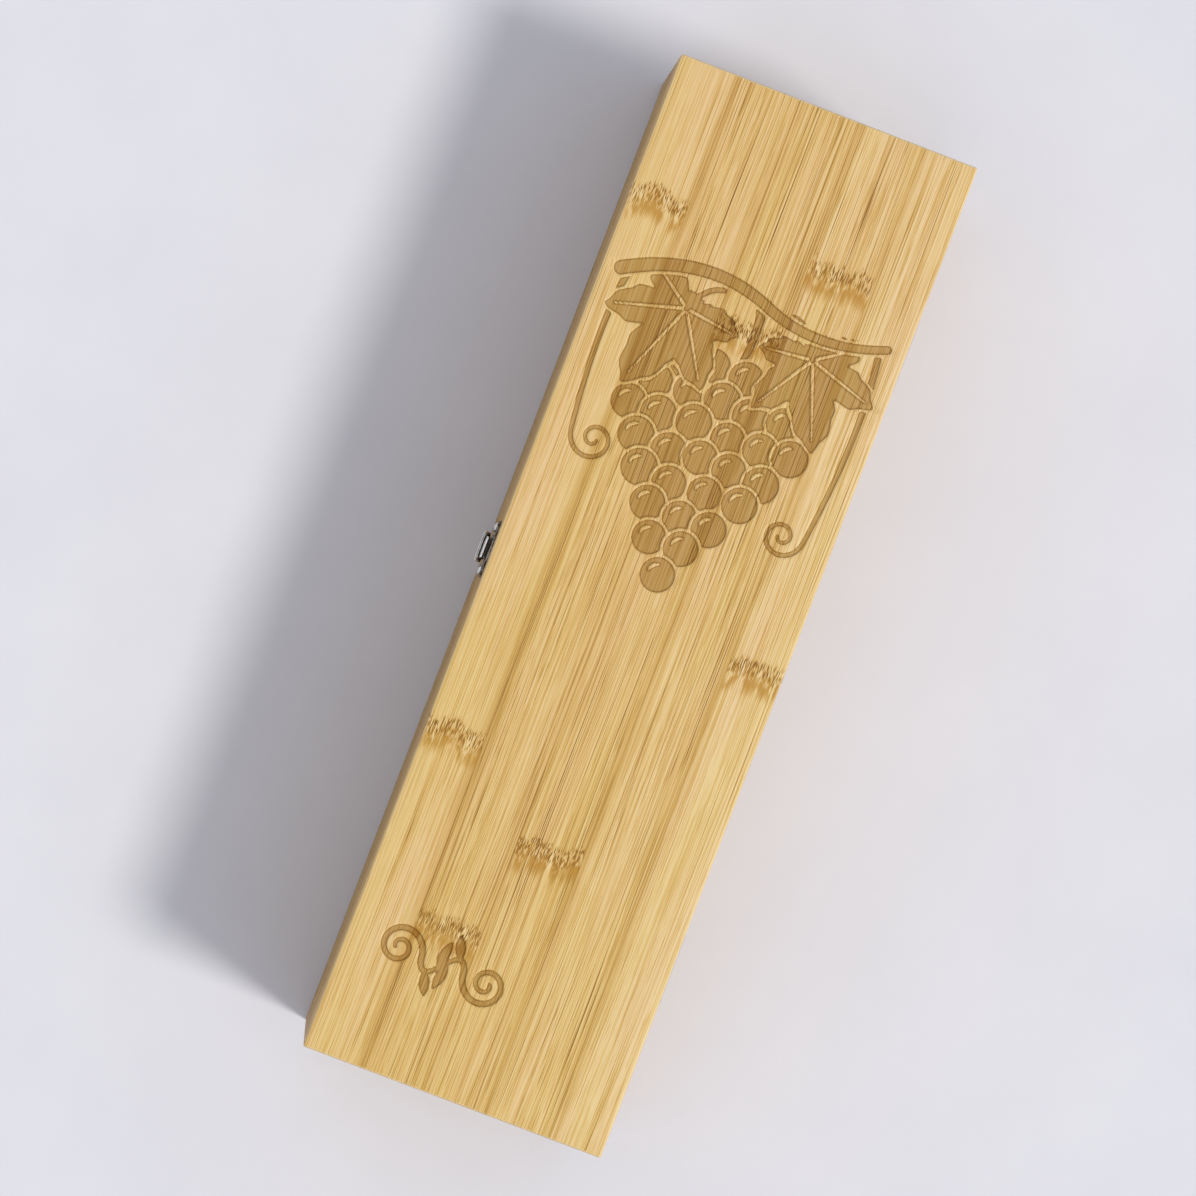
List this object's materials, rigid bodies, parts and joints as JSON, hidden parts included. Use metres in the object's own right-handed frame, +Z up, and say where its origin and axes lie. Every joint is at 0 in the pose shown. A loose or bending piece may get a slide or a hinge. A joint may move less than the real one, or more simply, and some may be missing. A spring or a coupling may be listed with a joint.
{
  "type": "wine box",
  "caption": "Long bamboo presentation box for a lying wine bottle, with a hinged flat lid, a toggle clasp on the front and shaped bottle cradles inside.",
  "frame": {"origin": "centre of the underside of the bottom panel", "axes": "+X along the bottle from its neck end to its base end, -Y out of the front with the clasp, +Y out of the rear with the hinges, +Z up through the lid"},
  "size_m": [0.35, 0.1114, 0.102],
  "materials": {
    "bamboo": "flat-pressed bamboo strips, sanded and lacquered to a low satin",
    "nickel_plate": "bright nickel plate on pressed steel",
    "steel_pin": "drawn steel wire"
  },
  "bodies": {
    "box": {"bottom_panel": "bamboo", "front_wall": "bamboo", "rear_wall": "bamboo", "neck_end_wall": "bamboo", "base_end_wall": "bamboo", "neck_cradle": "bamboo", "body_cradle": "bamboo", "neck_hinge_box_leaf": "nickel_plate", "neck_hinge_pin": "steel_pin", "base_hinge_box_leaf": "nickel_plate", "base_hinge_pin": "steel_pin", "hinge_box_screws": "nickel_plate", "clasp_base": "nickel_plate", "clasp_base_screws": "nickel_plate", "clasp_lever_pin": "steel_pin"},
    "lid": {"lid_panel": "bamboo", "lid_front_rail": "bamboo", "lid_rear_rail": "bamboo", "lid_neck_end_rail": "bamboo", "lid_base_end_rail": "bamboo", "neck_hinge_lid_leaf": "nickel_plate", "base_hinge_lid_leaf": "nickel_plate", "hinge_lid_screws": "nickel_plate", "clasp_keeper": "nickel_plate", "clasp_keeper_screws": "nickel_plate"},
    "clasp_lever": {"clasp_lever": "nickel_plate"},
    "clasp_loop": {"clasp_loop": "nickel_plate"}
  },
  "joints": [
    {"name": "lid_hinge", "type": "hinge", "parent": "box", "child": "lid", "pos_m": [0, 0.0531, 0.07815], "axis": [-1, 0, 0], "range_deg": [0, 180]},
    {"name": "lever_pivot", "type": "hinge", "parent": "box", "child": "clasp_lever", "pos_m": [0, -0.0547, 0.07115], "axis": [-1, 0, 0], "range_deg": [0, 150]},
    {"name": "loop_pivot", "type": "hinge", "parent": "clasp_lever", "child": "clasp_loop", "pos_m": [0, -0.0546, 0.06745], "axis": [-1, 0, 0], "range_deg": [-180, 0]}
  ],
  "couplings": [
    {"joint": "loop_pivot", "follows": "lever_pivot", "ratio": -1.2}
  ]
}
